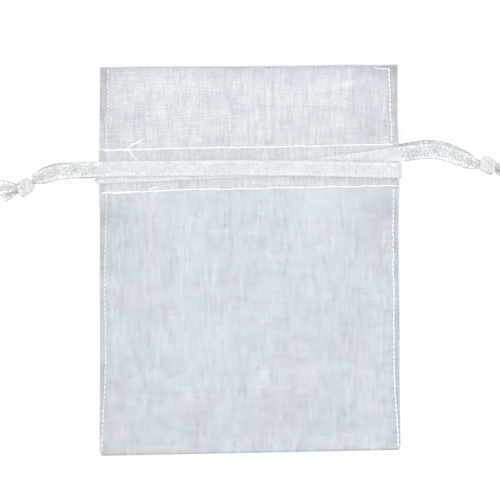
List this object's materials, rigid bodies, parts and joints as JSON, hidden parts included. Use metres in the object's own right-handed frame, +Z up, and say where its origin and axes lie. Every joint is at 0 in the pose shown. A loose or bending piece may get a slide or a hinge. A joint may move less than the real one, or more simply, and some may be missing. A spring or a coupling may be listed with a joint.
{
  "type": "drawstring gift pouch",
  "caption": "Small flat pouch of sheer woven cloth, with a stitched channel below its mouth and two flat ribbon drawstrings that leave at opposite sides.",
  "frame": {"origin": "on the surface the pouch lies on, under the middle of the pouch between its two side edges and between its bottom fold and its mouth edge", "axes": "+X to the right across the pouch, +Y from the bottom fold to the mouth, +Z up through its thickness"},
  "size_m": [0.1202, 0.09, 0.0076],
  "materials": {
    "organza": "sheer plain-woven organza, silvery white with a cool sheen",
    "seam_edge": "several layers of organza enclosed in a narrow seam, denser and greyer than the walls",
    "ribbon": "narrow sheer woven ribbon with white selvedges",
    "thread": "bright white sewing thread, lockstitched"
  },
  "bodies": {
    "pouch": {"back_channel_facing": "organza", "back_header_facing": "organza", "back_header_panel": "organza", "back_lower_stitch_row": "thread", "back_mouth_fold": "organza", "back_panel": "organza", "back_upper_stitch_row": "thread", "bottom_fold": "organza", "front_channel_facing": "organza", "front_lower_stitch_row": "thread", "front_panel": "organza", "front_upper_stitch_row": "thread", "left_body_seam_allowance": "seam_edge", "left_body_seam_row": "thread", "left_header_seam_allowance": "seam_edge", "left_header_seam_row": "thread", "right_body_seam_allowance": "seam_edge", "right_body_seam_row": "thread", "right_header_seam_allowance": "seam_edge", "right_header_seam_row": "thread"},
    "mouth_front": {"front_header_panel": "organza", "front_header_facing": "organza", "front_mouth_fold": "organza"},
    "left_drawstring_loop": {"left_drawstring": "ribbon", "left_knot": "ribbon", "left_lower_end": "ribbon", "left_upper_end": "ribbon"},
    "right_drawstring_loop": {"right_drawstring": "ribbon", "right_knot": "ribbon", "right_lower_end": "ribbon", "right_upper_end": "ribbon"}
  },
  "joints": [
    {"name": "mouth_open", "type": "hinge", "parent": "pouch", "child": "mouth_front", "pos_m": [0, 0.0265, 0.0076], "axis": [1, 0, 0], "range_deg": [0, 45]},
    {"name": "left_drawstring_slide", "type": "slide", "parent": "pouch", "child": "left_drawstring_loop", "axis": [1, 0, 0], "range_m": [0, 0.004]},
    {"name": "right_drawstring_slide", "type": "slide", "parent": "pouch", "child": "right_drawstring_loop", "axis": [-0.9936, -0.1132, 0], "range_m": [0, 0.0033]}
  ]
}
